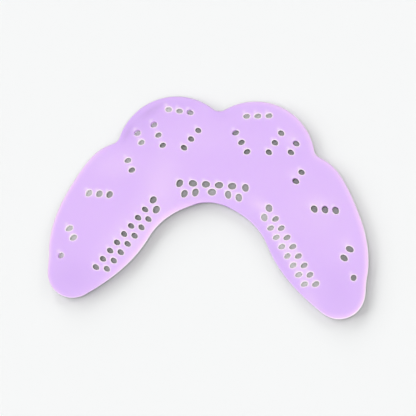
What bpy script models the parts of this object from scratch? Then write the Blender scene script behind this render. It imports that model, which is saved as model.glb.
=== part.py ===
"""Perforated mouthguard blank: one flat thermoplastic sheet with two front lobes and two arms.

The sheet lies flat, as it does before it is softened and fitted. X runs across it, Y runs from
the arm tips to the front lobes and +Z is up. The origin is under the middle of the outline, on
the underside. The right half is drawn from the midline round to the top of the arch, and the
left half is its mirror image. Lengths are in millimetres and angles in degrees.
"""

import math
from typing import NamedTuple

import bmesh
import bpy
from mathutils import Matrix, Vector
from mathutils.geometry import delaunay_2d_cdt, interpolate_bezier

MILLIMETRE = 0.001

# Section of the sheet
SHEET_THICKNESS = 1.6
EDGE_HEAD_ROUNDING = 0.42
EDGE_FOOT_ROUNDING = 0.3
HOLE_RIM_ROUNDING = 0.12
LARGEST_SHARE_OF_THICKNESS = 0.45
EDGE_ROUNDING_STEPS = 3
HOLE_RIM_STEPS = 1

# Front lobes: a round lobe each side of the midline, with a soft notch between them
LOBE_X = 11.05
LOBE_Y = 12.5
LOBE_RADIUS = 16.55
FRONT_NOTCH_RADIUS = 3.1

# Shoulders: where each arm leaves its lobe at the side notch
SHOULDER_X = 23.8
SHOULDER_Y = 1.75
SHOULDER_RADIUS = 13.7
SHOULDER_END_ANGLE = 37.0
SIDE_NOTCH_RADIUS = 2.8

# Outer edge of the arms: straightens, reaches its widest place and narrows to a slight waist
OUTER_EDGE_X = 43.85
OUTER_EDGE_Y = -11.35
OUTER_EDGE_HEADING = -83.4
FLANK_INSET = 3.77
FLANK_RISE = 12.1
FLANK_HEADING = -64.4
WAIST_DROP = 5.5
WAIST_OUTSET = 0.08
WAIST_HEADING = -98.0

# Rounded arm tips
TIP_X = 36.65
TIP_Y = -22.05
TIP_RADIUS = 7.07
TIP_START_ANGLE = -16.5
TIP_END_ANGLE = -124.0

# Inner edge: one long bend each side of the crown of the arch, which is at the drawing's zero
ARCH_BEND_X = 16.4
ARCH_BEND_Y = -10.85
ARCH_BEND_HEADING = -244.1
ARCH_CROWN_RADIUS = 11.8
ARCH_CROWN_ANGLE = 72.5

# Fineness of the faceted edges
LONGEST_FACET = 2.8
SHARPEST_FACET_TURN = 7.0
HOLE_FACETS = 12
MERGE_DISTANCE = 1e-6

# Hole shapes, length and width of each oval
SMALL_OVAL = (1.8, 1.4)
LOBE_OVAL = (1.82, 1.4)
ARM_OVAL = (2.0, 1.66)
SLIM_OVAL = (2.12, 1.52)
ROUND_HOLE = (1.5, 1.5)
BITE_OVAL = (1.9, 1.38)
BITE_END_OVAL = (2.12, 1.76)
FRONT_OVAL = (2.26, 1.8)
FRONT_STEEP_OVAL = (2.17, 1.72)
OVAL_TAPER = 0.08

# Rows of holes: across and up from the middle of what carries them to the first hole, and the
# distance from hole to hole. The lobe carries the first four, the shoulder the next two.
LOBE_FRONT_ROW = (-3.2, 12.17)
LOBE_FRONT_PITCH = 3.1
LOBE_OUTER_ROW = (6.7, 8.05)
LOBE_OUTER_PITCH = 3.15
LOBE_INNER_ROW = (-5.83, 7.3)
LOBE_INNER_PITCH = 3.1
LOBE_SIDE_PAIR = (11.1, 5.4)
LOBE_SIDE_PITCH = 2.85
SHOULDER_PAIR = (0.37, 8.33)
SHOULDER_PITCH = 2.95
ARM_ROW = (4.62, -1.56)
ARM_PITCH = 2.9
# Carried by the widest place of the outer edge and by the tip
FLANK_PAIR = (-5.06, 1.32)
FLANK_PITCH = 2.85
TIP_HOLE = (3.65, 4.41)
# Carried by the bend of the inner edge: the two rows along the bite, each with a wide end hole
OUTER_BITE_END_HOLE = (-0.35, 10.4)
OUTER_BITE_ROW = (1.65, 7.6)
OUTER_BITE_PITCH = 2.98
INNER_BITE_END_HOLE = (-1.43, 7.77)
INNER_BITE_ROW = (0.51, 5.01)
INNER_BITE_PITCH = 2.97
# Carried by the crown: the front group, and the one hole on the midline
FRONT_ROW = (1.78, 4.94)
FRONT_PITCH = 3.65
FRONT_END_HOLE = (9.15, 4.7)
FRONT_LOWER_ROW = (4.56, 2.48)
FRONT_LOWER_PITCH = 3.05
MIDLINE_HOLE_Y = 2.9


class Node(NamedTuple):
    """A point of the outline and the direction in which the edge passes it."""

    x: float
    y: float
    heading: float


class Row(NamedTuple):
    """A straight row of like holes, from its first hole along its direction."""

    start: tuple
    pitch: float
    direction: float
    count: int
    oval: tuple
    lean: float


class Oval(NamedTuple):
    """One hole: its centre, its length and width, and how its length leans from the X axis."""

    centre: Vector
    length: float
    width: float
    lean: float


def point_on_circle(centre, radius, angle):
    """Return the point of a circle at an angle from the X axis."""
    turn = math.radians(angle)
    return Vector((centre[0] + radius * math.cos(turn), centre[1] + radius * math.sin(turn)))


def arc_nodes(centre, radius, start, end, count):
    """Return nodes along an arc. The edge runs clockwise where the angle falls."""
    side = -90.0 if end < start else 90.0
    nodes = []
    for index in range(count):
        angle = start + (end - start) * index / (count - 1)
        nodes.append(Node(*point_on_circle(centre, radius, angle), angle + side))
    return nodes


def angle_to(start, end):
    """Return the angle from the X axis of the line between two points."""
    return math.degrees(math.atan2(end[1] - start[1], end[0] - start[0]))


def side_notch_centre(lobe, shoulder):
    """Return the centre of the fillet circle that touches the lobe and the shoulder outside."""
    reach_lobe = LOBE_RADIUS + SIDE_NOTCH_RADIUS
    reach_shoulder = SHOULDER_RADIUS + SIDE_NOTCH_RADIUS
    line = shoulder - lobe
    along = (line.length_squared + reach_lobe**2 - reach_shoulder**2) / (2.0 * line.length)
    across = math.sqrt(reach_lobe**2 - along**2)
    unit = line.normalized()
    return lobe + along * unit + across * Vector((-unit.y, unit.x))


def right_half_nodes():
    """Return the outline's nodes from the front notch, clockwise, to the crown of the arch."""
    lobe = Vector((LOBE_X, LOBE_Y))
    shoulder = Vector((SHOULDER_X, SHOULDER_Y))
    tip = Vector((TIP_X, TIP_Y))

    notch_centre_y = LOBE_Y + math.sqrt((LOBE_RADIUS + FRONT_NOTCH_RADIUS) ** 2 - LOBE_X**2)
    notch = side_notch_centre(lobe, shoulder)

    nodes = [Node(0.0, notch_centre_y - FRONT_NOTCH_RADIUS, 0.0)]
    lobe_start = angle_to(lobe, (0.0, notch_centre_y))
    nodes += arc_nodes(lobe, LOBE_RADIUS, lobe_start, angle_to(lobe, notch), 5)
    nodes += arc_nodes(shoulder, SHOULDER_RADIUS, angle_to(shoulder, notch), SHOULDER_END_ANGLE, 2)
    nodes.append(Node(OUTER_EDGE_X - FLANK_INSET, OUTER_EDGE_Y + FLANK_RISE, FLANK_HEADING))
    nodes.append(Node(OUTER_EDGE_X, OUTER_EDGE_Y, OUTER_EDGE_HEADING))
    nodes.append(Node(OUTER_EDGE_X + WAIST_OUTSET, OUTER_EDGE_Y - WAIST_DROP, WAIST_HEADING))
    nodes += arc_nodes(tip, TIP_RADIUS, TIP_START_ANGLE, TIP_END_ANGLE, 4)
    nodes.append(Node(ARCH_BEND_X, ARCH_BEND_Y, ARCH_BEND_HEADING))
    crown = Vector((0.0, -ARCH_CROWN_RADIUS))
    nodes += arc_nodes(crown, ARCH_CROWN_RADIUS, ARCH_CROWN_ANGLE, 90.0, 2)
    return nodes


def edge_between(start, end):
    """Return points from one node towards the next, on the curve nearest to an arc."""
    turn = (end.heading - start.heading + 180.0) % 360.0 - 180.0
    first, last = Vector((start.x, start.y)), Vector((end.x, end.y))
    chord = (last - first).length
    reach = chord / (3.0 * math.cos(math.radians(turn) / 4.0) ** 2)
    leaving = point_on_circle(first, reach, start.heading)
    arriving = point_on_circle(last, -reach, end.heading)
    facets = math.ceil(max(chord / LONGEST_FACET, abs(turn) / SHARPEST_FACET_TURN, 1.0))
    return interpolate_bezier(first, leaving, arriving, last, facets + 1)[:-1]


def sheet_outline():
    """Return the whole outline as a clockwise ring of points."""
    nodes = right_half_nodes()
    right = []
    for start, end in zip(nodes, nodes[1:]):
        right += edge_between(start, end)
    right = [Vector((point.x, point.y)) for point in right]
    crown = Vector((0.0, 0.0))
    left = [Vector((-point.x, point.y)) for point in reversed(right[1:])]
    return right + [crown] + left


def hole_rows():
    """Return the rows of holes on the midline's right, each dimensioned from what carries it."""
    lobe, shoulder = (LOBE_X, LOBE_Y), (SHOULDER_X, SHOULDER_Y)
    flank, tip = (OUTER_EDGE_X, OUTER_EDGE_Y), (TIP_X, TIP_Y)
    bend, crown = (ARCH_BEND_X, ARCH_BEND_Y), (0.0, 0.0)

    def offset(datum, by):
        return (datum[0] + by[0], datum[1] + by[1])

    return [
        Row(offset(lobe, LOBE_FRONT_ROW), LOBE_FRONT_PITCH, 5.0, 3, SMALL_OVAL, 5.0),
        Row(offset(lobe, LOBE_OUTER_ROW), LOBE_OUTER_PITCH, 242.0, 3, LOBE_OVAL, 150.0),
        Row(offset(lobe, LOBE_INNER_ROW), LOBE_INNER_PITCH, -55.0, 3, LOBE_OVAL, 24.0),
        Row(offset(lobe, LOBE_SIDE_PAIR), LOBE_SIDE_PITCH, 242.5, 2, LOBE_OVAL, 153.0),
        Row(offset(shoulder, SHOULDER_PAIR), SHOULDER_PITCH, 242.5, 2, LOBE_OVAL, 158.0),
        Row(offset(shoulder, ARM_ROW), ARM_PITCH, 0.0, 3, ARM_OVAL, 121.0),
        Row(offset(flank, FLANK_PAIR), FLANK_PITCH, 240.5, 2, SLIM_OVAL, 152.0),
        Row(offset(tip, TIP_HOLE), 0.0, 0.0, 1, ROUND_HOLE, 0.0),
        Row(offset(bend, OUTER_BITE_END_HOLE), 0.0, 0.0, 1, BITE_END_OVAL, 122.0),
        Row(offset(bend, OUTER_BITE_ROW), OUTER_BITE_PITCH, -54.2, 8, BITE_OVAL, 30.0),
        Row(offset(bend, INNER_BITE_END_HOLE), 0.0, 0.0, 1, BITE_END_OVAL, 121.0),
        Row(offset(bend, INNER_BITE_ROW), INNER_BITE_PITCH, -54.8, 7, BITE_OVAL, 30.0),
        Row(offset(crown, FRONT_ROW), FRONT_PITCH, 0.0, 2, FRONT_OVAL, 4.0),
        Row(offset(crown, FRONT_END_HOLE), 0.0, 0.0, 1, FRONT_STEEP_OVAL, 113.0),
        Row(offset(crown, FRONT_LOWER_ROW), FRONT_LOWER_PITCH, -11.0, 2, FRONT_STEEP_OVAL, 109.0),
    ]


def all_holes():
    """Return every hole: the rows, their mirror images and the one on the midline."""
    length, width = FRONT_OVAL
    holes = [Oval(Vector((0.0, MIDLINE_HOLE_Y)), length, width, 0.0)]
    for row in hole_rows():
        for index in range(row.count):
            centre = point_on_circle(row.start, row.pitch * index, row.direction)
            mirrored = Vector((-centre.x, centre.y))
            holes.append(Oval(centre, *row.oval, row.lean))
            holes.append(Oval(mirrored, *row.oval, 180.0 - row.lean))
    return holes


def hole_outline(hole):
    """Return an anticlockwise ring round one hole, an oval that is a little fuller at one end."""
    turn = Matrix.Rotation(math.radians(hole.lean), 2)
    ring = []
    for index in range(HOLE_FACETS):
        angle = 2.0 * math.pi * index / HOLE_FACETS
        fullness = 1.0 + OVAL_TAPER * math.cos(angle)
        along = 0.5 * hole.length * math.cos(angle)
        across = 0.5 * hole.width * math.sin(angle) * fullness
        ring.append(hole.centre + turn @ Vector((along, across)))
    return ring


def outward_normals(ring):
    """Return the unit direction, at each point of a clockwise ring, that points out of it."""
    normals = []
    for index, point in enumerate(ring):
        along = ring[(index + 1) % len(ring)] - ring[index - 1]
        normals.append(Vector((-along.y, along.x)).normalized())
    return normals


def quarter_round(rounding, steps):
    """Return inset and height pairs of a rounded foot, from the flat face to the wall."""
    radius = min(rounding, LARGEST_SHARE_OF_THICKNESS * SHEET_THICKNESS)
    pairs = []
    for step in range(steps + 1):
        angle = 0.5 * math.pi * step / steps
        pairs.append((radius * (1.0 - math.sin(angle)), radius * (1.0 - math.cos(angle))))
    return pairs


def wall_profile(foot, head, steps):
    """Return inset and height pairs up a wall that is rounded at its foot and at its head."""
    upper = [
        (inset, SHEET_THICKNESS - height)
        for inset, height in reversed(quarter_round(head, steps))
    ]
    return quarter_round(foot, steps) + upper


def add_wall(mesh, ring, profile):
    """Add a wall along a ring, and return the vertices of its lowest and highest loops."""
    normals = outward_normals(ring)
    loops = []
    for inset, height in profile:
        loop = []
        for point, normal in zip(ring, normals):
            place = point - inset * normal
            loop.append(mesh.verts.new((place.x, place.y, height)))
        loops.append(loop)
    for lower, upper in zip(loops, loops[1:]):
        for index in range(len(lower)):
            after = (index + 1) % len(lower)
            mesh.faces.new((lower[index], lower[after], upper[after], upper[index]))
    return loops[0], loops[-1]


def flat_face_triangles(loops):
    """Return triples of vertex indices that fill the first loop and leave out all the others."""
    points, edges, owner = [], [], []
    for number, loop in enumerate(loops):
        first = len(points)
        points += [vertex.co.xy for vertex in loop]
        owner += [number] * len(loop)
        edges += [(first + index, first + (index + 1) % len(loop)) for index in range(len(loop))]
    inside_edges = 1
    filled = delaunay_2d_cdt(points, edges, [], inside_edges, MERGE_DISTANCE)
    triangles = []
    for corners in filled[2]:
        owners = {owner[corner] for corner in corners}
        if len(owners) > 1 or owners == {0}:
            triangles.append(corners)
    return triangles


def build_sheet():
    """Return the mesh of the sheet: its rim, the walls of its holes and its two flat faces."""
    mesh = bmesh.new()
    edge_profile = wall_profile(EDGE_FOOT_ROUNDING, EDGE_HEAD_ROUNDING, EDGE_ROUNDING_STEPS)
    hole_profile = wall_profile(HOLE_RIM_ROUNDING, HOLE_RIM_ROUNDING, HOLE_RIM_STEPS)
    walls = [add_wall(mesh, sheet_outline(), edge_profile)]
    for hole in all_holes():
        walls.append(add_wall(mesh, hole_outline(hole), hole_profile))
    triangles = flat_face_triangles([bottom for bottom, top in walls])
    for side in range(2):
        corners = [vertex for wall in walls for vertex in wall[side]]
        for triangle in triangles:
            mesh.faces.new([corners[index] for index in triangle])
    bmesh.ops.recalc_face_normals(mesh, faces=mesh.faces)
    return mesh


def guard_material():
    """Return the lilac satin thermoplastic."""
    material = bpy.data.materials.new("lilac_thermoplastic")
    material.use_nodes = True
    shader = material.node_tree.nodes["Principled BSDF"]
    shader.inputs["Base Color"].default_value = (0.77, 0.54, 0.97, 1.0)
    shader.inputs["Roughness"].default_value = 0.42
    shader.inputs["Metallic"].default_value = 0.0
    return material


def make_guard():
    """Make the guard object, with the middle of its outline over the origin."""
    mesh = build_sheet()
    heights = [vertex.co.y for vertex in mesh.verts]
    middle = 0.5 * (min(heights) + max(heights))
    bmesh.ops.translate(mesh, vec=(0.0, -middle, 0.0), verts=mesh.verts)
    bmesh.ops.scale(mesh, vec=(MILLIMETRE,) * 3, verts=mesh.verts)
    data = bpy.data.meshes.new("guard")
    mesh.to_mesh(data)
    mesh.free()
    data.shade_smooth()
    data.set_sharp_from_angle(angle=math.radians(50.0))
    data.materials.append(guard_material())
    guard = bpy.data.objects.new("guard", data)
    bpy.context.scene.collection.objects.link(guard)
    return guard


def main():
    """Clear the scene and make the guard."""
    for thing in list(bpy.data.objects):
        bpy.data.objects.remove(thing, do_unlink=True)
    make_guard()


main()
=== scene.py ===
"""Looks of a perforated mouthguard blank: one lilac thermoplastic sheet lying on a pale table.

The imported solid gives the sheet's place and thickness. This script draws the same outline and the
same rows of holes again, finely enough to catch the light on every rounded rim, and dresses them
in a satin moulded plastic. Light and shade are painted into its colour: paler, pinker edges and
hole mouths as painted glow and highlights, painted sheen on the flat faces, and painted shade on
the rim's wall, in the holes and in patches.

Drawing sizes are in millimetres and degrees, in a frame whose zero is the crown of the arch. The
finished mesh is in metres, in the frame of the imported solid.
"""

import logging
import math
from dataclasses import dataclass, field
from enum import Enum

import bpy
import numpy as np
from mathutils import Euler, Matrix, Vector
from mathutils.geometry import delaunay_2d_cdt


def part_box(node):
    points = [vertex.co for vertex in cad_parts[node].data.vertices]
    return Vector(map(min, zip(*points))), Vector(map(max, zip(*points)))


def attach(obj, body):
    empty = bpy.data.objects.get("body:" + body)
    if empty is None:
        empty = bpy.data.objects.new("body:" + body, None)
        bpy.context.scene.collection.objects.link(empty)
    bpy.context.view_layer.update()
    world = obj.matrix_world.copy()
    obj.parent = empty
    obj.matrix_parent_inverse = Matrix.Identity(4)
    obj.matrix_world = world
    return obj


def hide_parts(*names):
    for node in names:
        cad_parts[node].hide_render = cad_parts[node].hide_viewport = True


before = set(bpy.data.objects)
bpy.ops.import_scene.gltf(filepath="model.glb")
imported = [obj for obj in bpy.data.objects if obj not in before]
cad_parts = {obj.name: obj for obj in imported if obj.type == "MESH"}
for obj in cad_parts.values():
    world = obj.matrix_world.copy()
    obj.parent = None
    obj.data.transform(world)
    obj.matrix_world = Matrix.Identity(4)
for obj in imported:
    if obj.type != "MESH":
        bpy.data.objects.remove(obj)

LOG = logging.getLogger("mouthguard")
MILLIMETRE = 0.001
Socket = bpy.types.NodeSocket


def srgb(code: str) -> tuple[float, float, float, float]:
    """Return an sRGB hex colour, such as "E3C2FC", as the linear colour of a shader socket."""
    channels = [int(code[start:start + 2], 16) / 255.0 for start in (0, 2, 4)]
    linear = [c / 12.92 if c <= 0.04045 else ((c + 0.055) / 1.055) ** 2.4 for c in channels]
    return (*linear, 1.0)


def add_node(tree: bpy.types.NodeTree, kind: str, settings: dict | None = None,
             inputs: dict | None = None) -> bpy.types.Node:
    """Add one node with its settings, its input values and its links.

    Args:
        tree: The node tree that gets the node.
        kind: The node's type name.
        settings: Attributes of the node and their values.
        inputs: Input names or numbers, each with a value or with the output socket to link.

    Returns:
        The new node.
    """
    node = tree.nodes.new(kind)
    for name, value in (settings or {}).items():
        setattr(node, name, value)
    for name, value in (inputs or {}).items():
        if isinstance(value, Socket):
            tree.links.new(value, node.inputs[name])
        else:
            node.inputs[name].default_value = value
    return node


def add_object(name: str, data: bpy.types.ID) -> bpy.types.Object:
    """Add an object with the given mesh, light or camera to the scene."""
    thing = bpy.data.objects.new(name, data)
    bpy.context.scene.collection.objects.link(thing)
    return thing


def directions(angles: np.ndarray) -> np.ndarray:
    """Return unit vectors, one row for each angle in degrees from the X axis."""
    turns = np.radians(angles)
    return np.stack([np.cos(turns), np.sin(turns)], axis=-1)


def right_normals(rings: np.ndarray) -> np.ndarray:
    """Return unit normals to the right of closed rings, whose last axes are points by two."""
    tangent = np.roll(rings, -1, axis=-2) - np.roll(rings, 1, axis=-2)
    tangent /= np.linalg.norm(tangent, axis=-1, keepdims=True)
    return np.stack([tangent[..., 1], -tangent[..., 0]], axis=-1)


@dataclass(frozen=True)
class Circle:
    """A construction circle of the drawing.

    Attributes:
        x: Centre, across.
        y: Centre, towards the front.
        radius: Radius.
    """

    x: float
    y: float
    radius: float

    @property
    def centre(self) -> np.ndarray:
        """Centre as an array."""
        return np.array([self.x, self.y])

    def nodes(self, start: float, end: float, count: int) -> np.ndarray:
        """Return outline nodes along an arc.

        Args:
            start: Angle of the first node.
            end: Angle of the last node. The edge runs clockwise where it is below start.
            count: Number of nodes.

        Returns:
            Rows of x, y and heading.
        """
        angles = np.linspace(start, end, count)
        points = self.centre + self.radius * directions(angles)
        return np.column_stack([points, angles + (90.0 if end > start else -90.0)])


@dataclass(frozen=True)
class GuardOutline:
    """Outline of the sheet: the right half is drawn, and the left half is its mirror image.

    Attributes:
        lobe: Front lobe.
        shoulder: Where the arm leaves its lobe.
        tip: Rounded end of the arm.
        crown: Top of the arch, whose highest point is the drawing's zero.
        front_notch: Fillet radius between the lobes.
        side_notch: Fillet radius between lobe and shoulder.
        shoulder_end: Angle at which the shoulder's arc ends.
        tip_arc: Angles between which the tip is an arc.
        crown_start: Angle at which the crown's arc starts.
        flank: Node on the outer edge, x, y and heading.
        widest: Node at the widest place.
        waist: Node at the slight waist above the tip.
        bend: Node on the inner edge.
        samples: Points taken from each curve between two nodes.
        count: Points of the finished outline.
    """

    lobe: Circle = Circle(11.05, 12.5, 16.55)
    shoulder: Circle = Circle(23.8, 1.75, 13.7)
    tip: Circle = Circle(36.65, -22.05, 7.07)
    crown: Circle = Circle(0.0, -11.8, 11.8)
    front_notch: float = 3.1
    side_notch: float = 2.8
    shoulder_end: float = 37.0
    tip_arc: tuple[float, float] = (-16.5, -124.0)
    crown_start: float = 72.5
    flank: tuple[float, float, float] = (40.08, 0.75, -64.4)
    widest: tuple[float, float, float] = (43.85, -11.35, -83.4)
    waist: tuple[float, float, float] = (43.93, -16.85, -98.0)
    bend: tuple[float, float, float] = (16.4, -10.85, -244.1)
    samples: int = 60
    count: int = 900

    def side_notch_centre(self) -> np.ndarray:
        """Return the centre of the circle that touches lobe and shoulder from outside."""
        reach_lobe = self.lobe.radius + self.side_notch
        reach_shoulder = self.shoulder.radius + self.side_notch
        line = self.shoulder.centre - self.lobe.centre
        length = float(np.hypot(*line))
        along = (length**2 + reach_lobe**2 - reach_shoulder**2) / (2.0 * length)
        across = math.sqrt(reach_lobe**2 - along**2)
        unit = line / length
        return self.lobe.centre + along * unit + across * np.array([-unit[1], unit[0]])

    def right_nodes(self) -> np.ndarray:
        """Return x, y and heading of each node, from the front notch to the crown."""
        front_y = self.lobe.y + math.sqrt((self.lobe.radius + self.front_notch) ** 2
                                          - self.lobe.x**2)
        notch = self.side_notch_centre()

        def angle(circle: Circle, point: np.ndarray) -> float:
            """Return the angle at which a point is seen from a circle's centre."""
            return math.degrees(math.atan2(point[1] - circle.y, point[0] - circle.x))

        return np.vstack([
            [0.0, front_y - self.front_notch, 0.0],
            self.lobe.nodes(angle(self.lobe, (0.0, front_y)), angle(self.lobe, notch), count=5),
            self.shoulder.nodes(angle(self.shoulder, notch), self.shoulder_end, count=2),
            self.flank,
            self.widest,
            self.waist,
            self.tip.nodes(*self.tip_arc, count=4),
            self.bend,
            self.crown.nodes(self.crown_start, 90.0, count=2),
        ])

    def points(self) -> np.ndarray:
        """Return the closed outline as evenly spaced points, clockwise.

        Each curve between two nodes is a cubic Bezier. Its handles lie along the headings and
        are chord / (3 cos^2(turn / 4)) long, which follows a circle closely.

        Returns:
            Rows of x and y, without the first point repeated.
        """
        nodes = self.right_nodes()
        first, last = nodes[:-1, :2], nodes[1:, :2]
        turn = (nodes[1:, 2] - nodes[:-1, 2] + 180.0) % 360.0 - 180.0
        chord = np.linalg.norm(last - first, axis=1)
        reach = (chord / (3.0 * np.cos(np.radians(turn) / 4.0) ** 2))[:, None]
        leaving = first + reach * directions(nodes[:-1, 2])
        arriving = last - reach * directions(nodes[1:, 2])
        t = np.linspace(0.0, 1.0, self.samples, endpoint=False)[None, :, None]
        first, leaving, arriving, last = (p[:, None, :] for p in (first, leaving, arriving, last))
        right = ((1 - t) ** 3 * first + 3 * (1 - t) ** 2 * t * leaving
                 + 3 * (1 - t) * t**2 * arriving + t**3 * last).reshape(-1, 2)
        left = right[:0:-1] * (-1.0, 1.0)
        ring = np.vstack([right, nodes[-1:, :2], left, right[:1]])
        steps = np.linalg.norm(np.diff(ring, axis=0), axis=1)
        travel = np.concatenate([[0.0], np.cumsum(steps)])
        even = np.linspace(0.0, travel[-1], self.count, endpoint=False)
        return np.column_stack([np.interp(even, travel, ring[:, axis]) for axis in (0, 1)])


class Oval(Enum):
    """Kinds of hole, as length and width in millimetres."""

    SMALL = (1.8, 1.4)
    LOBE = (1.82, 1.4)
    ARM = (2.0, 1.66)
    SLIM = (2.12, 1.52)
    ROUND = (1.5, 1.5)
    BITE = (1.9, 1.38)
    BITE_END = (2.12, 1.76)
    FRONT = (2.26, 1.8)
    FRONT_STEEP = (2.17, 1.72)


@dataclass(frozen=True)
class Row:
    """A straight row of like holes on the right half.

    Attributes:
        right: From the carrying feature to the first hole, across.
        up: From the carrying feature to the first hole, towards the front.
        pitch: Distance from hole to hole.
        direction: Angle at which the row runs.
        count: Number of holes.
        oval: Kind of hole.
        lean: Angle of each hole's length.
    """

    right: float
    up: float
    pitch: float
    direction: float
    count: int
    oval: Oval
    lean: float


@dataclass(frozen=True)
class HolePattern:
    """All the holes, each row dimensioned from the feature that carries it.

    Attributes:
        outline: The outline whose features carry the rows.
        centre_hole: Height of the one hole on the midline.
        taper: How much fuller each oval is at one end.
        size_scatter: Spread of the hole sizes, as a share.
        lean_scatter: Spread of the leans, in degrees.
        draft_scatter: Spread of the drafts. A draft is how far the foot of a wall lies off its
            head where it leans most.
        head_share: Share of it by which the head moves out. The foot moves in by the rest.
        leaning: Points near the holes with a wall that leans and catches the light, each with
            the draft and the height above which that wall is lilac.
        seed: Seed of the small irregularities.
        facets: Points round each hole.
    """

    outline: GuardOutline
    centre_hole: float = 2.9
    taper: float = 0.08
    size_scatter: float = 0.02
    lean_scatter: float = 3.0
    draft_scatter: float = 0.05
    head_share: float = 0.7
    leaning: tuple[tuple[float, float, float, float, float], ...] = (
        (-7.9, 24.7, 0.22, -0.12, 0.75), (-17.8, 20.6, 0.14, -0.22, 0.6),
        (-22.1, 18.0, 0.14, -0.22, 0.6), (5.2, 19.8, 0.22, -0.05, 0.85),
        (22.2, 17.9, 0.2, -0.1, 0.85), (22.8, 7.6, 0.18, -0.16, 0.9),
        (31.4, 0.3, 0.08, -0.24, 0.95), (34.3, 0.3, 0.14, -0.2, 0.95),
        (-40.3, -17.6, 0.25, 0.2, 0.75))
    seed: int = 11
    facets: int = 40

    def rows(self) -> list[tuple[np.ndarray, Row]]:
        """Return each row with the point that it is dimensioned from."""
        outline = self.outline
        lobe, shoulder, tip = outline.lobe.centre, outline.shoulder.centre, outline.tip.centre
        widest, bend, crown = np.array([outline.widest[:2], outline.bend[:2], (0.0, 0.0)])
        return [
            (lobe, Row(-3.2, 12.17, 3.1, 5.0, 3, Oval.SMALL, 5.0)),
            (lobe, Row(6.7, 8.05, 3.15, 242.0, 3, Oval.LOBE, 150.0)),
            (lobe, Row(-5.83, 7.3, 3.1, -55.0, 3, Oval.LOBE, 24.0)),
            (lobe, Row(11.1, 5.4, 2.85, 242.5, 2, Oval.LOBE, 153.0)),
            (shoulder, Row(0.37, 8.33, 2.95, 242.5, 2, Oval.LOBE, 158.0)),
            (shoulder, Row(4.62, -1.56, 2.9, 0.0, 3, Oval.ARM, 121.0)),
            (widest, Row(-5.06, 1.32, 2.85, 240.5, 2, Oval.SLIM, 152.0)),
            (tip, Row(3.65, 4.41, 0.0, 0.0, 1, Oval.ROUND, 0.0)),
            (bend, Row(-0.35, 10.4, 0.0, 0.0, 1, Oval.BITE_END, 122.0)),
            (bend, Row(1.65, 7.6, 2.98, -54.2, 8, Oval.BITE, 30.0)),
            (bend, Row(-1.43, 7.77, 0.0, 0.0, 1, Oval.BITE_END, 121.0)),
            (bend, Row(0.51, 5.01, 2.97, -54.8, 7, Oval.BITE, 30.0)),
            (crown, Row(1.78, 4.94, 3.65, 0.0, 2, Oval.FRONT, 4.0)),
            (crown, Row(9.15, 4.7, 0.0, 0.0, 1, Oval.FRONT_STEEP, 113.0)),
            (crown, Row(4.56, 2.48, 3.05, -11.0, 2, Oval.FRONT_STEEP, 109.0)),
        ]

    def table(self) -> np.ndarray:
        """Return x, y, length, width, lean, the draft's x and y, and the lilac's height.

        The midline hole comes first, then each right hole and its mirror image. The
        irregularities are drawn once for every hole, in that order. The lilac's height is
        infinite where a hole doesn't lean.
        """
        holes = [(0.0, self.centre_hole, *Oval.FRONT.value, 0.0)]
        for datum, row in self.rows():
            steps = row.pitch * np.arange(row.count)[:, None] * directions(np.array(row.direction))
            for x, y in datum + (row.right, row.up) + steps:
                holes.append((x, y, *row.oval.value, row.lean))
                holes.append((-x, y, *row.oval.value, 180.0 - row.lean))
        holes = np.array(holes)
        rng = np.random.default_rng(self.seed)
        holes[:, 2:4] *= 1.0 + self.size_scatter * rng.standard_normal((len(holes), 2))
        holes[:, 4] += self.lean_scatter * rng.standard_normal(len(holes))
        draft = self.draft_scatter * rng.standard_normal((len(holes), 2))
        draft = np.column_stack([draft, np.full(len(holes), np.inf)])
        for x, y, *lean in self.leaning:
            draft[np.linalg.norm(holes[:, :2] - (x, y), axis=1).argmin()] = lean
        return np.column_stack([holes, draft])

    def rings(self) -> np.ndarray:
        """Return the rings round all holes at their narrowest, anticlockwise.

        A ring is an ellipse whose width is multiplied by 1 + taper cos(angle), so that it is a
        little fuller at one end. It is wider where the head of a leaning wall moves out.

        Returns:
            Holes by points by two.
        """
        table = self.table()
        x, y, length, width, lean = table[:, :5].T[:, :, None]
        angle = np.linspace(0.0, 2.0 * np.pi, self.facets, endpoint=False)[None, :]
        along = 0.5 * length * np.cos(angle)
        across = 0.5 * width * np.sin(angle) * (1.0 + self.taper * np.cos(angle))
        cosine, sine = np.cos(np.radians(lean)), np.sin(np.radians(lean))
        rings = np.stack([x + along * cosine - across * sine,
                          y + along * sine + across * cosine], axis=-1)
        return rings - self.head_share * self.drafts(rings)

    def drafts(self, rings: np.ndarray) -> np.ndarray:
        """Return how far the foot of each wall lies off its head, at each point of the rings.

        The wall leans most on the side that faces away from the draft. It is upright from the
        hole's middle to the other side.
        """
        table = self.table()
        draft = table[:, None, 5:7]
        against = -((rings - table[:, None, :2]) * draft).sum(axis=-1, keepdims=True)
        return np.clip(against / against.max(axis=1, keepdims=True), 0.0, 1.0) * draft


@dataclass
class MeshParts:
    """Vertices and faces that are gathered from several surfaces.

    Attributes:
        points: Arrays of vertices.
        faces: Lists of faces.
        total: Number of vertices so far.
    """

    points: list[np.ndarray] = field(default_factory=list)
    faces: list[tuple[int, ...]] = field(default_factory=list)
    total: int = 0

    def add_points(self, points: np.ndarray) -> np.ndarray:
        """Add vertices and return their indices, in the array's shape without its last axis."""
        indices = np.arange(points[..., 0].size).reshape(points.shape[:-1]) + self.total
        self.points.append(points.reshape(-1, 3))
        self.total += indices.size
        return indices

    def add_band(self, indices: np.ndarray) -> None:
        """Add the quads between closed loops of vertices, given as indices, loops by points."""
        after = np.roll(indices, -1, axis=1)
        quads = np.stack([indices[1:], after[1:], after[:-1], indices[:-1]], axis=-1)
        self.faces += quads.reshape(-1, 4).tolist()


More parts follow.
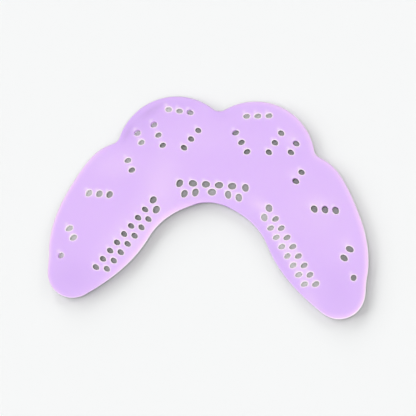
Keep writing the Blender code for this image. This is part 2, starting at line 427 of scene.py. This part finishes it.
@dataclass
class GuardSheet:
    """The sheet: a rounded rim, the walls of its holes and two flat faces between them.

    Attributes:
        outline: Outline of the sheet.
        holes: Pattern of its holes.
        thickness: Thickness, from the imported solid.
        rim_head: Radius of the rim's upper edge.
        rim_foot: Radius of its lower edge.
        mouth_radius: Largest radius at the mouths of the holes.
        mouth_share: Most that a mouth's radius takes of the gap to the next hole.
        rim_steps: Facets of each rounded quarter of the rim.
        mouth_steps: Facets of each rounded quarter at a mouth.
        wall_rings: Heights of the extra rings of points on the walls of the holes.
        collars: Distances from the edges of the top face at which loops of points lie.
        collar_room: Share of that distance that their points keep from every other edge.
        fine_step: Spacing of the points of the top face near its edges.
        coarse_step: Spacing elsewhere.
        fine_reach: How far from an edge the fine spacing goes.
        coarse_room: Least distance of the widely spaced points from an edge.
    """

    outline: GuardOutline
    holes: HolePattern
    thickness: float
    rim_head: float = 0.42
    rim_foot: float = 0.3
    mouth_radius: float = 0.12
    mouth_share: float = 0.42
    rim_steps: int = 7
    mouth_steps: int = 4
    wall_rings: tuple[float, ...] = (0.7, 1.05)
    collars: tuple[float, ...] = (0.08, 0.2, 0.38)
    collar_room: float = 0.95
    fine_step: float = 0.4
    coarse_step: float = 1.6
    fine_reach: float = 1.7
    coarse_room: float = 0.3

    def wall_profile(self, head: np.ndarray, foot: np.ndarray, steps: int,
                     between: tuple[float, ...] = ()) -> np.ndarray:
        """Return inset and height up walls whose foot and head are quarter circles.

        Args:
            head: Radius of the upper quarter circle of each wall.
            foot: Radius of the lower one.
            steps: Facets of each.
            between: Heights of extra rows on the upright part.

        Returns:
            Walls by rows, from the underside to the top, by inset and height.
        """
        angle = np.linspace(0.0, 0.5 * np.pi, steps + 1)
        quarter = np.column_stack([1.0 - np.sin(angle), 1.0 - np.cos(angle)])
        lower = foot[:, None, None] * quarter
        upper = head[:, None, None] * quarter[::-1] * (1.0, -1.0) + (0.0, self.thickness)
        upright = np.zeros((len(head), len(between), 2))
        upright[..., 1] = between
        return np.concatenate([lower, upright, upper], axis=1)

    def mouth_radii(self) -> np.ndarray:
        """Return the radius at each hole's mouths, less where the next hole is close."""
        rings = self.holes.rings()
        gaps = [
            nearest(ring, np.delete(rings, index, axis=0).reshape(-1, 2))[0].min()
            for index, ring in enumerate(rings)
        ]
        return np.minimum(self.mouth_radius, self.mouth_share * np.array(gaps))

    @staticmethod
    def sweep(rings: np.ndarray, profiles: np.ndarray) -> np.ndarray:
        """Carry a wall profile along closed rings.

        A point is the ring's point moved by the profile's inset into the plastic, which is to
        the right of each ring, at the profile's height.

        Args:
            rings: Rings by points by two.
            profiles: Rings, or one, by rows by inset and height.

        Returns:
            Rings by profile rows by points by three.
        """
        flat = rings[:, None] + profiles[:, :, None, 0:1] * right_normals(rings)[:, None]
        height = np.broadcast_to(profiles[:, :, None, 1:2], (*flat.shape[:-1], 1))
        return np.concatenate([flat, height], axis=-1)

    def inner_points(self, rim: np.ndarray, mouths: np.ndarray, collars: tuple[float, ...],
                     reach: float) -> np.ndarray:
        """Return points that fill a flat face, close together near the edges.

        Args:
            rim: Loop where the flat face meets the rounded rim.
            mouths: Loops where it meets the mouths of the holes.
            collars: Distances from the edges at which loops of points lie.
            reach: How far from an edge the fine spacing goes.

        Returns:
            Rows of x and y.
        """
        edges = np.vstack([rim, mouths.reshape(-1, 2)])

        def lattice(step: float) -> np.ndarray:
            """Return a triangular lattice over the outline's box."""
            low, high = rim.min(axis=0), rim.max(axis=0)
            columns, rows = np.meshgrid(np.arange(low[0], high[0], step),
                                        np.arange(low[1], high[1], step * math.sqrt(0.75)))
            odd = (np.arange(len(rows)) % 2)[:, None]
            return np.column_stack([(columns + 0.5 * step * odd).ravel(), rows.ravel()])

        kept = []
        for distance in collars:
            profile = np.array([[[distance, 0.0]]])
            for loops in (rim[None], mouths):
                points = self.sweep(loops, profile)[..., :2].reshape(-1, 2)
                away = nearest(points, edges)[0]
                kept.append(points[away > self.collar_room * distance])
        last = collars[-1] if collars else 0.0
        for step, least, most in ((self.fine_step, last + 0.5 * self.fine_step, reach),
                                  (self.coarse_step, max(reach, self.coarse_room), math.inf)):
            points = lattice(step)
            points = points[inside(points, rim) & ~self.in_a_hole(points, mouths)]
            away = nearest(points, edges)[0]
            kept.append(points[(away > least) & (away <= most)])
        return np.vstack(kept)

    def in_a_hole(self, points: np.ndarray, mouths: np.ndarray) -> np.ndarray:
        """Say for each point whether it lies nearer to a hole's middle than its mouth does."""
        centres = mouths.mean(axis=1)
        away, hole = nearest(points, centres)
        reach = np.linalg.norm(mouths - centres[:, None], axis=-1)
        close = np.flatnonzero(away < reach.max())
        offset = points[close] - centres[hole[close]]
        facing = np.argmax(((mouths[hole[close]] - centres[hole[close], None])
                            * offset[:, None]).sum(axis=-1) / reach[hole[close]], axis=1)
        found = np.zeros(len(points), dtype=bool)
        found[close] = away[close] < reach[hole[close], facing]
        return found

    @staticmethod
    def flat_face(loops: list[np.ndarray], inner: np.ndarray) -> np.ndarray:
        """Fill the first loop with triangles and leave out all the others.

        Args:
            loops: Closed loops of points, the rim first.
            inner: Points between them.

        Returns:
            Triples of indices into the loops' points followed by the inner points.
        """
        sizes = [len(loop) for loop in loops]
        starts = np.concatenate([[0], np.cumsum(sizes)])
        owner = np.concatenate([np.repeat(np.arange(len(loops)), sizes), np.full(len(inner), -1)])
        edges = np.vstack([
            np.column_stack([np.arange(size), np.roll(np.arange(size), -1)]) + start
            for size, start in zip(sizes, starts)
        ])
        points = [Vector(point) for point in np.vstack([*loops, inner]).tolist()]
        inside_edges, merge_distance = 1, 1e-6
        filled = delaunay_2d_cdt(points, edges.tolist(), [], inside_edges, merge_distance)
        triangles = np.array(filled[2])
        owners = owner[triangles]
        in_hole = (owners[:, 0] > 0) & (owners == owners[:, :1]).all(axis=1)
        return triangles[~in_hole]

    def build(self, name: str) -> tuple[bpy.types.Object, np.ndarray]:
        """Return the sheet, one closed mesh in metres, and its vertices in millimetres."""
        parts = MeshParts()
        rim_ring = self.outline.points()
        rim_profile = self.wall_profile(np.array([self.rim_head]), np.array([self.rim_foot]),
                                        self.rim_steps)
        rim = self.sweep(rim_ring[None], rim_profile)[0]
        radii = self.mouth_radii()
        mouth_profiles = self.wall_profile(radii, radii, self.mouth_steps, self.wall_rings)
        hole_rings = self.holes.rings()
        walls = self.sweep(hole_rings, mouth_profiles)
        lower_share = 1.0 - mouth_profiles[:, :, 1] / self.thickness
        walls[..., :2] += self.holes.drafts(hole_rings)[:, None] * lower_share[:, :, None, None]

        rim_indices = parts.add_points(rim)
        parts.add_band(rim_indices)
        wall_indices = parts.add_points(walls)
        for indices in wall_indices:
            parts.add_band(indices)

        for row, height, collars, reach in ((-1, self.thickness, self.collars, self.fine_reach),
                                            (0, 0.0, (), 0.0)):
            loops = [rim[row, :, :2], *walls[:, row, :, :2]]
            inner = self.inner_points(loops[0], walls[:, row, :, :2], collars, reach)
            triangles = self.flat_face(loops, inner)
            inner_indices = parts.add_points(np.hstack([inner, np.full((len(inner), 1), height)]))
            corners = np.concatenate([
                rim_indices[row], wall_indices[:, row].ravel(), inner_indices])
            faces = corners[triangles]
            parts.faces += (faces[:, ::-1] if height == 0.0 else faces).tolist()

        points = np.vstack(parts.points)
        middle = 0.5 * (rim_ring[:, 1].min() + rim_ring[:, 1].max())
        mesh = bpy.data.meshes.new(name)
        mesh.from_pydata(((points - (0.0, middle, 0.0)) * MILLIMETRE).tolist(), [], parts.faces)
        mesh.validate()
        mesh.shade_smooth()
        return add_object(name, mesh), points


def nearest(points: np.ndarray, targets: np.ndarray) -> tuple[np.ndarray, np.ndarray]:
    """Return each point's distance to its nearest target, and that target's index.

    The nearest target is the one with the least |target|^2 - 2 point . target, which is worked
    out for a few thousand points at a time.
    """
    at_once = 4000
    square = (targets**2).sum(axis=1)
    found = np.concatenate([
        (square - 2.0 * chunk @ targets.T).argmin(axis=1)
        for chunk in np.array_split(points, len(points) // at_once + 1)
    ])
    return np.linalg.norm(points - targets[found], axis=1), found


def inside(points: np.ndarray, ring: np.ndarray) -> np.ndarray:
    """Say for each point whether it lies in a closed ring, by counting the edges to its right."""
    start, end = ring[None], np.roll(ring, -1, axis=0)[None]
    x, y = points[:, 0:1], points[:, 1:2]
    crosses = (start[..., 1] > y) != (end[..., 1] > y)
    rise = end[..., 1] - start[..., 1]
    safe = np.where(rise == 0.0, 1.0, rise)
    at = start[..., 0] + (y - start[..., 1]) * (end[..., 0] - start[..., 0]) / safe
    return (crosses & (x < at)).sum(axis=1) % 2 == 1


@dataclass(frozen=True)
class MouldedLilac:
    """Satin lilac polycaprolactone, moulded as a thin sheet and slightly translucent.

    The rim and the mouths of the holes are painted paler and pinker than the flat faces, as
    painted glow and highlights where light would leak out of the thin edges. Further tints are
    painted sheen and painted shade.

    Attributes:
        body: Colour of the flat faces.
        cool: Colour of the bluer clouds.
        warm: Colour of the pinker clouds.
        pale: Colour of lighter patches on the top face, painted sheen.
        dull: Colour of darker patches near the tips and on one lobe, painted shade.
        lobe_shade: Colour of two darker streaks near that lobe's outer edge, painted shade.
        hole_glow: Colour of the painted glow near the holes.
        flare: Colour of the painted highlight beside each hole.
        rim: Colour of the painted glow band along the rim, where light would leak out.
        halo: Colour of the painted highlight line at the mouths of the holes and at the very edge.
        deep: Colour of the rim's lower part on the side away from the light, painted shade.
        glow: Colour of the rim's lower part on the side of the light, a lighter painted shade.
        crown_wall_shade: Colour of the painted shade on the rim's wall at two places under the
            arch's crown.
        shade: Upper colour of the leaning walls, the plastic's lilac darkened as painted shade.
        lit_wall: Colour of the walls of the holes near a lit edge, painted light.
        dark_wall: Colour of the other holes' walls, painted shade where hardly any light reaches.
        cloud: Size of the clouds, in millimetres.
        grain: Size of the moulded grain, in millimetres.
        grain_depth: Its depth, in metres.
        grain_strength: How much it tilts the surface.
        translucence: Share of the light that scatters under the surface.
        translucence_depth: How deep it goes, in metres.
        translucence_tint: Shares of that depth for red, green and blue.
        roughness: Roughness of the satin surface.
        ior: Index of refraction.
    """

    body: str = "DEBCFA"
    cool: str = "D8B5F8"
    warm: str = "E2C0FB"
    pale: str = "F0D4FC"
    dull: str = "CDA9EE"
    lobe_shade: str = "C6A4E2"
    hole_glow: str = "EFD0FC"
    flare: str = "F4DEFC"
    rim: str = "FAD6FE"
    halo: str = "FDECFF"
    deep: str = "6C6E6A"
    glow: str = "7E7C80"
    crown_wall_shade: str = "745690"
    shade: str = "CCA8E4"
    lit_wall: str = "FCFCFA"
    dark_wall: str = "4A4C48"
    cloud: float = 20.0
    grain: float = 0.25
    grain_depth: float = 0.00002
    grain_strength: float = 0.12
    translucence: float = 0.2
    translucence_depth: float = 0.0008
    translucence_tint: tuple[float, float, float] = (1.0, 0.7, 1.2)
    roughness: float = 0.4
    ior: float = 1.46

    def material(self) -> bpy.types.Material:
        """Return the material as a node tree."""
        material = bpy.data.materials.new("moulded_lilac")
        material.use_nodes = True
        tree = material.node_tree
        tree.nodes.clear()
        place = add_node(tree, "ShaderNodeTexCoord").outputs["Object"]

        def noise(size: float, detail: float) -> Socket:
            """Return noise whose lumps are about the given size in millimetres."""
            scale = 1.0 / (size * MILLIMETRE)
            return add_node(tree, "ShaderNodeTexNoise", inputs={
                "Vector": place, "Scale": scale, "Detail": detail}).outputs["Fac"]

        def share(value: Socket, low: float, high: float, most: float) -> Socket:
            """Return a value spread from low and high to zero and most."""
            return add_node(tree, "ShaderNodeMapRange", inputs={
                "Value": value, "From Min": low, "From Max": high, "To Max": most}).outputs[0]

        def mix(under: str | Socket, over: str | Socket, amount: Socket) -> Socket:
            """Return a colour laid over another by an amount."""
            lower, upper = (srgb(c) if isinstance(c, str) else c for c in (under, over))
            return add_node(tree, "ShaderNodeMix", {"data_type": "RGBA"}, {
                0: amount, 6: lower, 7: upper}).outputs[2]

        def attribute(name: str) -> Socket:
            """Return one of the mesh's own values."""
            return add_node(tree, "ShaderNodeAttribute", {"attribute_name": name}).outputs["Fac"]

        clouds = noise(self.cloud, detail=1.5)
        colour = mix(self.body, self.cool, share(clouds, low=0.5, high=0.7, most=0.3))
        colour = mix(colour, self.warm, share(clouds, low=0.5, high=0.3, most=0.3))
        # Painted light and shade laid over the body colour, one tint at a time.
        for name in ("pale", "dull", "lobe_shade", "hole_glow", "flare", "rim", "halo", "deep",
                     "glow", "crown_wall_shade", "shade"):
            colour = mix(colour, getattr(self, name), attribute(name))
        # Hole walls: painted shade in the middle of the sheet, painted light near a lit edge.
        wall = mix(self.dark_wall, self.lit_wall, attribute("lit"))
        colour = mix(colour, wall, attribute("wall"))
        bump = add_node(tree, "ShaderNodeBump", inputs={
            "Height": noise(self.grain, detail=2.0), "Strength": self.grain_strength,
            "Distance": self.grain_depth})
        shader = add_node(tree, "ShaderNodeBsdfPrincipled", inputs={
            "Base Color": colour, "Roughness": self.roughness, "IOR": self.ior,
            "Subsurface Weight": self.translucence, "Subsurface Radius": self.translucence_tint,
            "Subsurface Scale": self.translucence_depth, "Normal": bump.outputs["Normal"]})
        add_node(tree, "ShaderNodeOutputMaterial", inputs={"Surface": shader.outputs[0]})
        return material


def ramp(value: np.ndarray, start: np.ndarray, length: float) -> np.ndarray:
    """Return the share, from 0 to 1, of the length that a value has risen above its start."""
    return np.clip((value - start) / length, 0.0, 1.0)


def fade_out(distance: np.ndarray, width: np.ndarray) -> np.ndarray:
    """Return exp(-(distance / width)^2), which fades away from an edge or a point."""
    return np.exp(-((distance / width) ** 2))


@dataclass(frozen=True)
class SoftMark:
    """A mark without an edge, in the drawing's millimetres.

    Attributes:
        x: Middle, across.
        y: Middle, towards the front.
        length: Half of its length.
        width: Half of its width.
        lean: Angle of its length.
        strength: Strength in its middle.
    """

    x: float
    y: float
    length: float
    width: float
    lean: float
    strength: float

    def value(self, points: np.ndarray) -> np.ndarray:
        """Return strength exp(-2 (a^2 + b^2)), with a and b the shares of half length and width."""
        axes = directions(np.array([self.lean, self.lean + 90.0]))
        shares = (points - (self.x, self.y)) @ axes.T / (self.length, self.width)
        return self.strength * np.exp(-2.0 * (shares**2).sum(axis=1))


def soft_marks(*rows: tuple[float, ...]) -> tuple[SoftMark, ...]:
    """Return a soft mark for each row of x, y, length, width, lean and strength."""
    return tuple(SoftMark(*row) for row in rows)


@dataclass(frozen=True)
class Tints:
    """Painted light and shade: where the plastic looks paler, pinker or dull, as vertex values.

    Attributes:
        rim_stations: Share of the outline's length, clockwise from the front notch, with the
        strength and the width of the painted glow band there and the strength of the painted
        highlight line.
        line_width: Width of the painted highlight line at the very edge.
        light_azimuth: Direction from which light reaches the rim, in degrees.
        edge_shaded: Height up to which the rim has its deep colour of painted shade, on the side
            away from that light.
        edge_lit: Height up to which it has its glow colour, a lighter painted shade, on the side of
            the light.
        edge_fade: Height over which these colours, and the lilac of a leaning wall, fade.
        halo_reach: Width of the painted highlight line beyond each mouth.
        leak_reach: How far the pinker painted glow reaches from the holes.
        leak_single: Strength of that tone round a hole that stands alone.
        leak_crowd: Distance within which a second hole starts to strengthen it.
        leak_rise: How much closer the second hole brings it to full strength.
        flare_from: Offset from a hole's middle to the middle of the painted highlight beside it.
        flare_reach: How far that painted highlight reaches.
        flare: Its strength.
        wall_top: Height above which a hole's wall is as pale as its mouth.
        wall_fade: Height over which the wall then reaches its painted light and shade.
        light_from: Offset from a hole, towards the light, to the middle of the patch of table that
            sets the painted light on its walls.
        light_blur: Size of that patch.
        lit_share: Share of open table round a hole that gives its walls their full painted light.
        lit_curve: Power that the painted light follows below that share.
        dusk_from: Height on the rim's wall at which the places of painted shade start.
        dusk_fade: Height over which they reach their full strength.
        dusk_below: How far under the top face they end.
        pale: Lighter patches, painted sheen.
        dull: Darker patches, painted shade.
        lobe_shade: Darker streaks on one front lobe, painted shade.
        crown_wall_shade: Places of painted shade on the rim's wall.
    """

    rim_stations: tuple[tuple[float, float, float, float], ...] = (
        (0.0, 0.0, 0.9, 0.5), (0.05, 0.45, 0.8, 0.9), (0.083, 0.5, 1.2, 0.6),
        (0.117, 0.5, 1.0, 0.6), (0.15, 0.5, 1.05, 0.6), (0.183, 0.6, 1.0, 0.6),
        (0.217, 0.8, 1.1, 0.8), (0.25, 1.0, 1.0, 0.9), (0.28, 1.0, 0.85, 1.0),
        (0.29, 0.95, 0.9, 2.2), (0.302, 0.8, 0.9, 3.0), (0.32, 0.65, 1.0, 1.2),
        (0.345, 0.1, 1.1, 0.45), (0.365, 0.0, 1.0, 0.3), (0.41, 0.0, 1.0, 0.5),
        (0.45, 0.0, 0.8, 0.35), (0.483, 0.0, 0.8, 0.0), (0.517, 0.45, 1.3, 0.1),
        (0.55, 0.95, 1.3, 1.2), (0.583, 0.95, 1.1, 1.3), (0.617, 0.65, 1.3, 0.8),
        (0.65, 0.15, 1.2, 0.4), (0.683, 0.1, 0.9, 0.6), (0.717, 0.7, 0.65, 0.9),
        (0.75, 0.95, 0.75, 1.0), (0.783, 0.9, 0.75, 1.0), (0.817, 0.8, 0.85, 1.0),
        (0.85, 0.5, 1.0, 0.9), (0.87, 0.0, 0.9, 0.7), (0.95, 0.0, 0.9, 0.5), (1.0, 0.0, 0.9, 0.5))
    line_width: float = 0.2
    light_azimuth: float = 150.0
    edge_shaded: float = 0.6
    edge_lit: float = 1.1
    edge_fade: float = 0.3
    halo_reach: float = 0.09
    leak_reach: float = 0.42
    leak_single: float = 0.35
    leak_crowd: float = 2.6
    leak_rise: float = 0.8
    flare_from: tuple[float, float] = (-0.85, 1.1)
    flare_reach: float = 0.5
    flare: float = 0.6
    wall_top: float = 1.36
    wall_fade: float = 0.3
    light_from: tuple[float, float] = (-5.0, 1.0)
    light_blur: float = 5.0
    lit_share: float = 0.5
    lit_curve: float = 0.6
    dusk_from: float = 0.6
    dusk_fade: float = 0.4
    dusk_below: float = 0.1
    # Lighter patches on the top face, painted sheen.
    pale: tuple[SoftMark, ...] = soft_marks(
        (-14.2, 3.6, 13.0, 7.0, 84.0, 0.45), (-20.2, -12.8, 9.0, 2.6, 58.0, 0.4),
        (-24.6, -9.4, 13.0, 3.2, 54.0, 0.3), (-27.5, 8.8, 9.0, 5.0, 10.0, 0.3),
        (-1.0, 17.2, 19.0, 5.0, 0.0, 0.12), (13.8, 0.0, 4.5, 2.2, -25.0, 0.6),
        (22.0, -10.6, 13.0, 2.4, -54.0, 0.75), (30.0, -2.0, 12.0, 12.0, 0.0, 0.25),
        (20.6, 18.8, 3.0, 2.6, 0.0, 0.4), (22.1, 9.7, 2.6, 2.2, 0.0, 0.3),
        (29.0, 1.9, 4.2, 2.0, 0.0, 0.4), (37.6, -8.6, 2.6, 2.6, 0.0, 0.3),
        (29.3, -24.5, 5.0, 2.0, -50.0, 0.3))
    # Darker patches on the top face, painted shade.
    dull: tuple[SoftMark, ...] = soft_marks(
        (-20.0, 22.0, 8.0, 5.0, 40.0, 0.35), (-11.0, 26.5, 7.0, 3.0, 0.0, 0.3),
        (-23.6, 18.0, 5.0, 4.0, 60.0, 0.25), (-36.2, -23.2, 9.0, 6.5, 20.0, 0.35),
        (36.4, -21.0, 9.0, 6.0, -70.0, 0.25), (19.6, -13.2, 9.0, 1.8, -57.0, 0.25),
        (0.6, 25.0, 3.4, 2.2, 0.0, 0.25))
    # Two darker streaks on one front lobe, painted shade.
    lobe_shade: tuple[SoftMark, ...] = soft_marks(
        (-18.8, 24.4, 5.0, 1.2, 37.0, 0.7), (-24.9, 17.8, 3.6, 1.1, 66.0, 0.6))
    # Painted shade on the rim's wall under the crown.
    crown_wall_shade: tuple[SoftMark, ...] = soft_marks(
        (-3.4, -0.4, 2.6, 2.0, 0.0, 0.8), (4.2, -0.8, 2.0, 2.0, 0.0, 0.5),
        (0.4, 0.0, 2.6, 2.0, 0.0, 0.3))

    def lit(self, guard: GuardSheet) -> np.ndarray:
        """Return how pale the walls of each hole are, from 0 in the middle to 1 by a lit edge.

        It is painted light, the share of bare table in a soft round patch beside the hole,
        weighted by exp(-(distance / blur)^2 / 2).
        """
        reach, count = 2.4, 13
        steps = np.linspace(-reach, reach, count)
        patch = np.stack(np.meshgrid(steps, steps), axis=-1).reshape(-1, 2)
        weight = np.exp(-0.5 * (patch**2).sum(axis=1))
        centres = guard.holes.table()[:, :2] + self.light_from
        points = centres[:, None] + self.light_blur * patch[None]
        covered = inside(points.reshape(-1, 2), guard.outline.points()).reshape(points.shape[:2])
        bare = 1.0 - (covered * weight).sum(axis=1) / weight.sum()
        return ramp(bare, 0.0, self.lit_share) ** self.lit_curve

    def paint(self, sheet: bpy.types.Object, points: np.ndarray, guard: GuardSheet) -> None:
        """Store the values on the mesh.

        Args:
            sheet: The sheet's object.
            points: Its vertices in the drawing's millimetres.
            guard: What the sheet was built from.
        """
        flat, height = points[:, :2], points[:, 2]
        rim = guard.outline.points()
        to_rim, at_rim = nearest(flat, rim)
        share, *bands = np.array(self.rim_stations).T
        strength, width, line = (np.interp(at_rim / len(rim), share, band) for band in bands)
        # How squarely the rim faces the light, which splits its painted shade below.
        facing = -right_normals(rim) @ directions(np.array(self.light_azimuth))
        rim_lit = np.clip(0.5 + facing, 0.0, 1.0)[at_rim]

        to_hole, at_hole = nearest(flat, guard.holes.rings().reshape(-1, 2))
        hole = at_hole // guard.holes.facets
        by_hole = to_hole < to_rim
        table = guard.holes.table()
        centres = table[:, :2]
        second = np.sort(np.linalg.norm(flat[:, None] - centres[None], axis=2), axis=1)[:, 1]
        crowd = ramp(self.leak_crowd, second, self.leak_rise)
        # Painted highlight beside each hole, off its middle to one side.
        from_flare = np.linalg.norm(flat - centres[hole] - self.flare_from, axis=1)
        flare = self.flare * fade_out(from_flare, self.flare_reach)
        mouth = guard.mouth_radii()[hole]
        draft, lilac_from = table[hole, 5:7], table[hole, 7]
        away_from_draft = -((flat - centres[hole]) * draft).sum(axis=1)
        leans = np.isfinite(lilac_from) & (away_from_draft > 0.0)
        tolerance = 0.001
        leaning = leans & by_hole & (height < guard.thickness - tolerance)
        # Painted shade: the plastic's lilac, darkened, on the upper part of a leaning wall.
        shade = leaning * ramp(height, lilac_from, self.edge_fade)
        down = by_hole * ramp(self.wall_top, height, self.wall_fade)
        beyond = np.maximum(to_hole - mouth, 0.0)
        top = height > 0.5 * guard.thickness
        # Painted shade on the rim's lower part, higher on the side of the light.
        edge = self.edge_shaded + (self.edge_lit - self.edge_shaded) * rim_lit
        upper = ramp(height, edge, self.edge_fade)
        lower = ~by_hole * (1.0 - upper)
        values = {
            # Painted glow band along the rim.
            "rim": upper * strength * fade_out(to_rim, width),
            # Painted highlight lines at the very edge and round each mouth.
            "halo": np.maximum(upper * line * fade_out(to_rim, self.line_width),
                               ~leans * fade_out(beyond, self.halo_reach)),
            # Painted glow round the holes, stronger where holes crowd.
            "hole_glow": fade_out(beyond, self.leak_reach)
                    * (self.leak_single + (1.0 - self.leak_single) * crowd),
            "flare": flare * top,
            "deep": lower * (1.0 - rim_lit),
            "glow": lower * rim_lit,
            # Painted light and shade on the lower walls of the holes.
            "wall": down * (1.0 - shade),
            "shade": shade,
            "lit": self.lit(guard)[hole],
        }
        # Painted shade on the rim's wall, between a height and the top face.
        side = (~by_hole * (height < guard.thickness - self.dusk_below)
                * ramp(height, self.dusk_from, self.dusk_fade))
        for name, where in (("pale", top), ("dull", top), ("lobe_shade", top), ("crown_wall_shade", side)):
            marks = sum(mark.value(flat) for mark in getattr(self, name))
            values[name] = np.minimum(marks, 1.0) * where
        for name, value in values.items():
            stored = sheet.data.attributes.new(name, "FLOAT", "POINT")
            stored.data.foreach_set("value", value.astype(np.float32))


class Lights(Enum):
    """What a lamp shines on."""

    EVERYTHING = "everything"
    TABLE = "table"
    GUARD = "guard"


@dataclass(frozen=True)
class Lamp:
    """A round softbox, far enough away to light the whole table evenly.

    Attributes:
        azimuth: Direction it stands in, in degrees from the X axis.
        elevation: Angle above the table.
        spread: Angle that it fills, which softens its shadows.
        share: Share of a plain level that it gives to a level surface.
        lights: What it shines on.
    """

    azimuth: float
    elevation: float
    spread: float
    share: float
    lights: Lights = Lights.EVERYTHING

    def add(self, name: str, receivers: dict[Lights, bpy.types.Collection]) -> None:
        """Add the lamp to the scene, shining on its collection of receivers if it has one.

        A plain level is an irradiance of pi on a level surface, so the lamp's strength is
        share pi / sin(elevation). A lamp for the guard alone gives it no gloss, which keeps its
        colour full where it is seen from low down.
        """
        data = bpy.data.lights.new(name, "SUN")
        data.angle = math.radians(self.spread)
        data.energy = self.share * math.pi / math.sin(math.radians(self.elevation))
        lamp = add_object(name, data)
        lamp.rotation_euler = Euler((math.radians(90.0 - self.elevation), 0.0,
                                     math.radians(self.azimuth + 90.0)))
        lamp.visible_glossy = self.lights is not Lights.GUARD
        if self.lights in receivers:
            lamp.light_linking.receiver_collection = receivers[self.lights]


@dataclass(frozen=True)
class Studio:
    """A pale table, soft light and the camera.

    Attributes:
        table_colour: Colour of the table.
        table_size: Side of the table, in metres.
        sky: Share of a plain level that comes from all round.
        lamps: Softboxes by name.
        tilt: How the camera is turned from looking straight down, in degrees.
        aim: Point of the sheet's middle plane at the picture's centre, in millimetres.
        distance: Distance of the camera from that point, in millimetres.
        lens: Focal length, in millimetres.
    """

    table_colour: str = "F7F8F8"
    table_size: float = 40.0
    sky: float = 0.34
    lamps: dict[str, Lamp] = field(default_factory=lambda: {
        "overhead_softbox": Lamp(145.0, 82.0, 30.0, 0.085),
        "low_window_left": Lamp(186.0, 19.4, 30.0, 0.153, Lights.TABLE),
        "low_window_middle": Lamp(150.0, 18.5, 22.0, 0.09, Lights.TABLE),
        "low_window_right": Lamp(112.0, 14.0, 21.0, 0.122, Lights.TABLE),
        "high_window": Lamp(142.0, 30.0, 40.0, 0.1, Lights.TABLE),
        "side_window": Lamp(44.0, 21.0, 24.0, 0.065, Lights.TABLE),
        "near_window": Lamp(292.0, 60.0, 40.0, 0.045, Lights.TABLE),
        "right_fill": Lamp(-45.0, 35.0, 40.0, 0.3, Lights.GUARD),
        "left_fill": Lamp(190.0, 32.0, 40.0, 0.215, Lights.GUARD),
        "far_fill": Lamp(72.0, 34.0, 40.0, 0.1, Lights.GUARD),
    })
    tilt: tuple[float, float, float] = (7.177, 5.752, 4.838)
    aim: tuple[float, float] = (-0.77, -1.48)
    distance: float = 357.9
    lens: float = 112.5

    def table(self) -> bpy.types.Object:
        """Add the table under the sheet."""
        half = 0.5 * self.table_size
        mesh = bpy.data.meshes.new("table")
        corners = [(-half, -half, 0.0), (half, -half, 0.0), (half, half, 0.0), (-half, half, 0.0)]
        mesh.from_pydata(corners, [], [(0, 1, 2, 3)])
        material = bpy.data.materials.new("matte_white_table")
        material.use_nodes = True
        shader = material.node_tree.nodes["Principled BSDF"]
        shader.inputs["Base Color"].default_value = srgb(self.table_colour)
        shader.inputs["Roughness"].default_value = 0.9
        shader.inputs["Specular IOR Level"].default_value = 0.0
        mesh.materials.append(material)
        table = add_object("table", mesh)
        return table

    def world(self) -> None:
        """Light the scene from all round, and show the table's colour past its edge."""
        world = bpy.data.worlds.new("soft_room")
        bpy.context.scene.world = world
        world.use_nodes = True
        tree = world.node_tree
        tree.nodes.clear()
        camera_ray = add_node(tree, "ShaderNodeLightPath").outputs["Is Camera Ray"]
        light = add_node(tree, "ShaderNodeBackground", inputs={
            "Color": (1.0, 1.0, 1.0, 1.0), "Strength": self.sky})
        backdrop = add_node(tree, "ShaderNodeBackground", inputs={
            "Color": srgb(self.table_colour), "Strength": 1.0})
        either = add_node(tree, "ShaderNodeMixShader", inputs={
            0: camera_ray, 1: light.outputs[0], 2: backdrop.outputs[0]})
        add_node(tree, "ShaderNodeOutputWorld", inputs={"Surface": either.outputs[0]})

    def camera(self, thickness: float) -> None:
        """Add the camera that looks down on a sheet of this thickness, in millimetres."""
        data = bpy.data.cameras.new("camera")
        data.lens = self.lens
        camera = add_object("camera", data)
        turn = Euler([math.radians(angle) for angle in self.tilt])
        camera.rotation_euler = turn
        back = turn.to_matrix() @ Vector((0.0, 0.0, 1.0))
        aim = Vector((*self.aim, 0.5 * thickness))
        camera.location = (aim + self.distance * back) * MILLIMETRE
        bpy.context.scene.camera = camera

    def build(self, sheet: bpy.types.Object, thickness: float) -> None:
        """Set up table, light, camera and view round a sheet of this thickness, in millimetres."""
        receivers = {}
        for lights, target in ((Lights.TABLE, self.table()), (Lights.GUARD, sheet)):
            receivers[lights] = bpy.data.collections.new(f"lit_{lights.value}")
            receivers[lights].objects.link(target)
        for name, lamp in self.lamps.items():
            lamp.add(name, receivers)
        self.world()
        self.camera(thickness)
        bpy.context.scene.view_settings.view_transform = "Standard"


def main() -> None:
    """Build the sheet and the studio, and log how many vertices and faces the sheet has."""
    logging.basicConfig(level=logging.INFO)
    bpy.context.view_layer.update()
    low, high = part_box("guard")
    thickness = (high.z - low.z) / MILLIMETRE

    outline = GuardOutline()
    guard = GuardSheet(outline, HolePattern(outline), thickness)
    sheet, points = guard.build("guard_sheet")
    Tints().paint(sheet, points, guard)
    sheet.data.materials.append(MouldedLilac().material())
    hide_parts("guard")
    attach(sheet, "root")
    mesh = sheet.data
    LOG.info("guard_sheet: %d vertices, %d faces", len(mesh.vertices), len(mesh.polygons))

    Studio().build(sheet, thickness)


if __name__ == "__main__":
    main()
